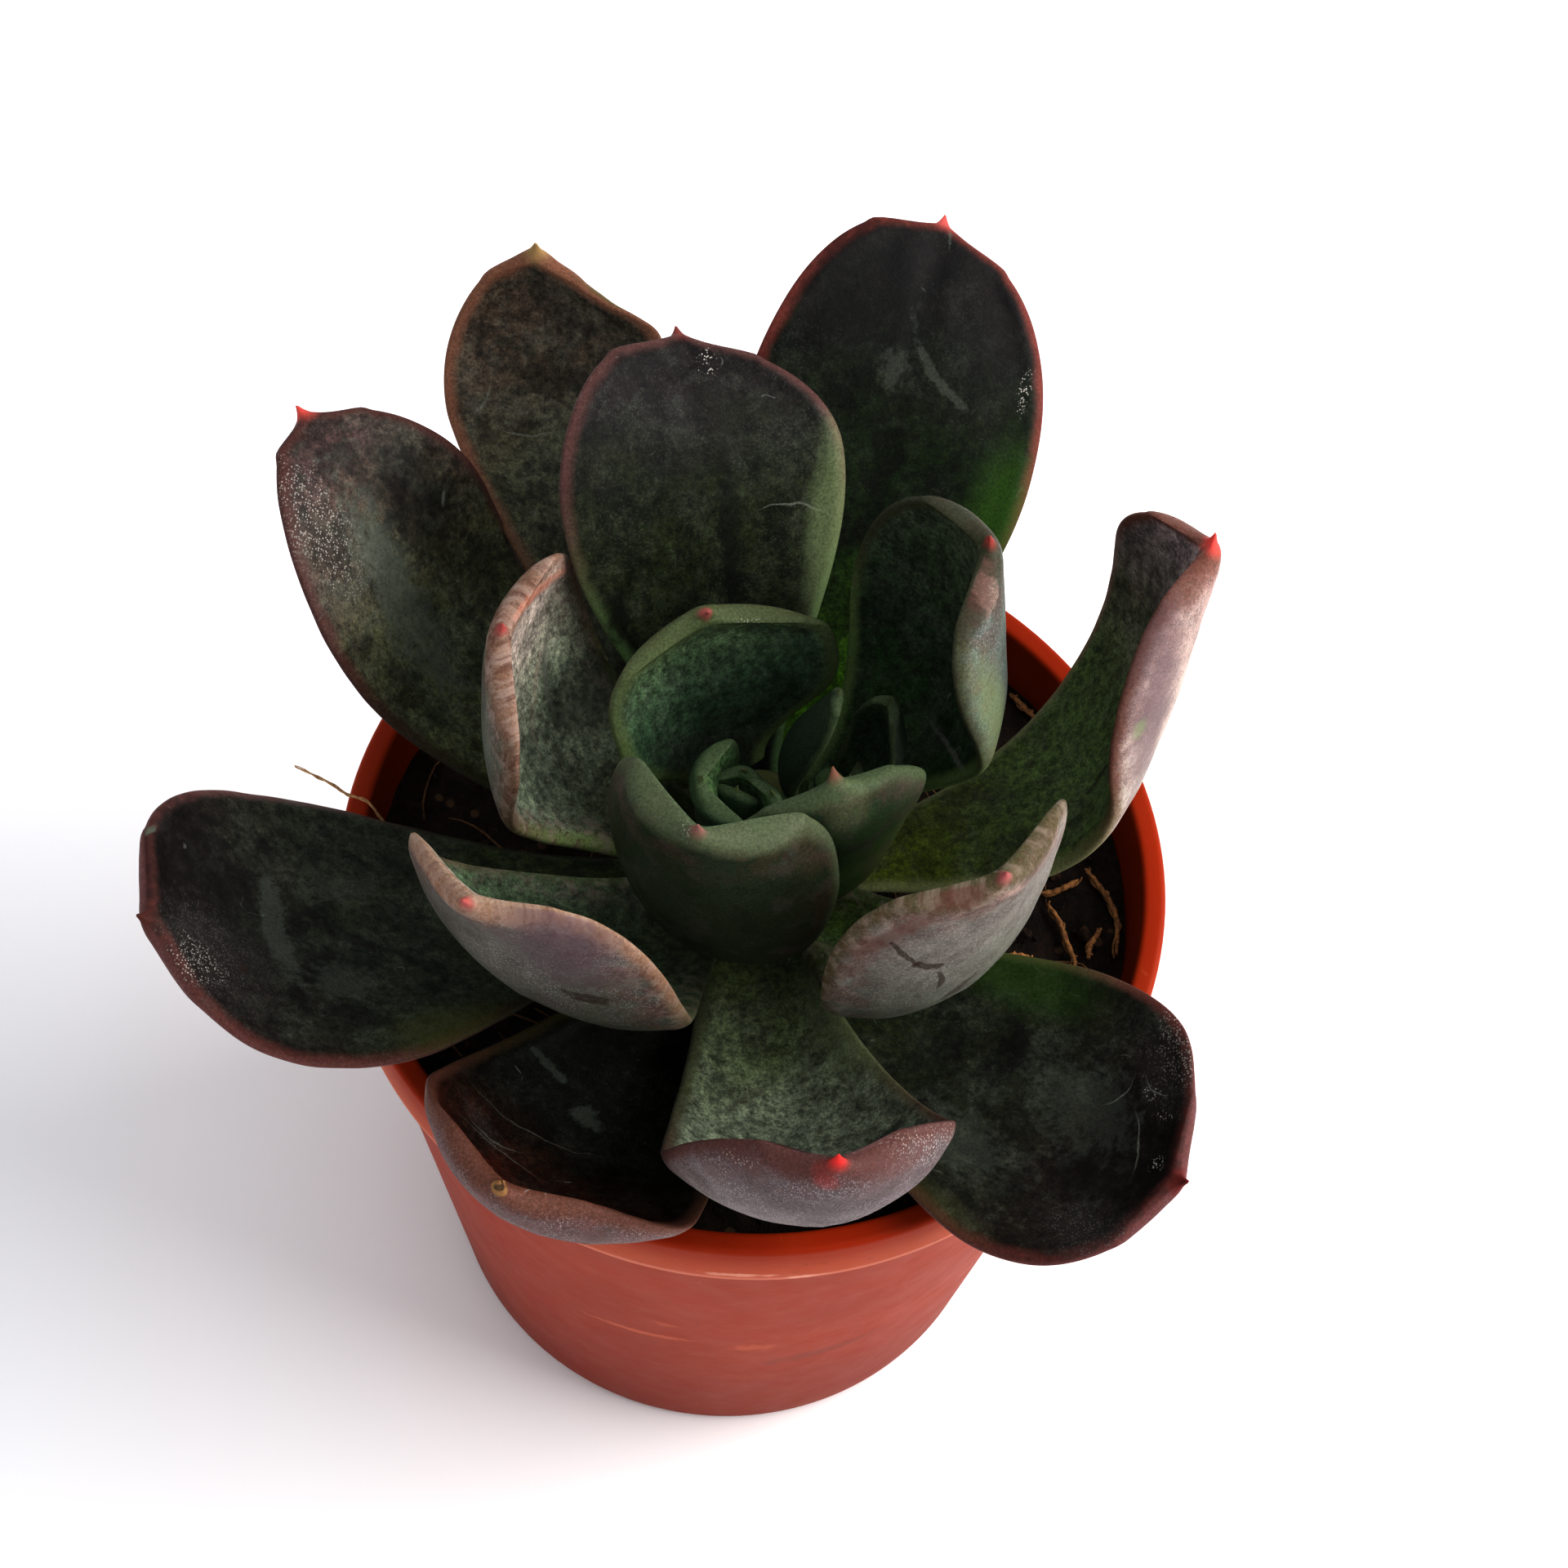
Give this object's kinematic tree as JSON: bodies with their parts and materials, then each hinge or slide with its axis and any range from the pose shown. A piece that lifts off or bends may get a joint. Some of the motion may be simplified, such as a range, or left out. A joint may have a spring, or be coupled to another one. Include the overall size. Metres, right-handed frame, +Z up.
{
  "type": "potted echeveria",
  "caption": "Rosette succulent with thick, pointed, wax-bloomed leaves on a short stem, standing in soil in a round tapered plastic nursery pot.",
  "frame": {"origin": "centre of the pot's flat base, on the surface it stands on", "axes": "+Z up along the pot's axis, +X to the picture's right, -Y towards the picture's camera"},
  "size_m": [0.1021, 0.1079, 0.1224],
  "materials": {
    "pot_plastic": "satin moulded terracotta-coloured plastic, lightly scratched",
    "potting_soil": "dark crumbly peat and coir mix",
    "corky_stem": "rough brown cork",
    "outer_leaf": "waxy dark green to purple, red-brown edges and points, speckled bloom",
    "middle_leaf": "waxy blue-green inside, lilac grey underneath, reddish margins",
    "young_leaf": "smooth pale green with a dull bloom",
    "coir_fibre": "dry tan-brown plant fibre"
  },
  "bodies": {
    "root": {"pot": "pot_plastic", "soil": "potting_soil", "stem": "corky_stem", "leaf_01": "outer_leaf", "leaf_02": "outer_leaf", "leaf_03": "outer_leaf", "leaf_04": "outer_leaf", "leaf_05": "outer_leaf", "leaf_06": "outer_leaf", "leaf_07": "outer_leaf", "leaf_08": "outer_leaf", "leaf_09": "outer_leaf", "leaf_10": "middle_leaf", "leaf_11": "middle_leaf", "leaf_12": "middle_leaf", "leaf_13": "middle_leaf", "leaf_14": "middle_leaf", "leaf_15": "middle_leaf", "leaf_16": "middle_leaf", "growing_tip": "young_leaf", "side_shoot": "young_leaf", "fibre_1": "coir_fibre", "fibre_2": "coir_fibre", "fibre_3": "coir_fibre", "fibre_4": "coir_fibre", "fibre_5": "coir_fibre", "fibre_6": "coir_fibre", "fibre_7": "coir_fibre", "rim_fibre": "coir_fibre"}
  },
  "joints": []
}
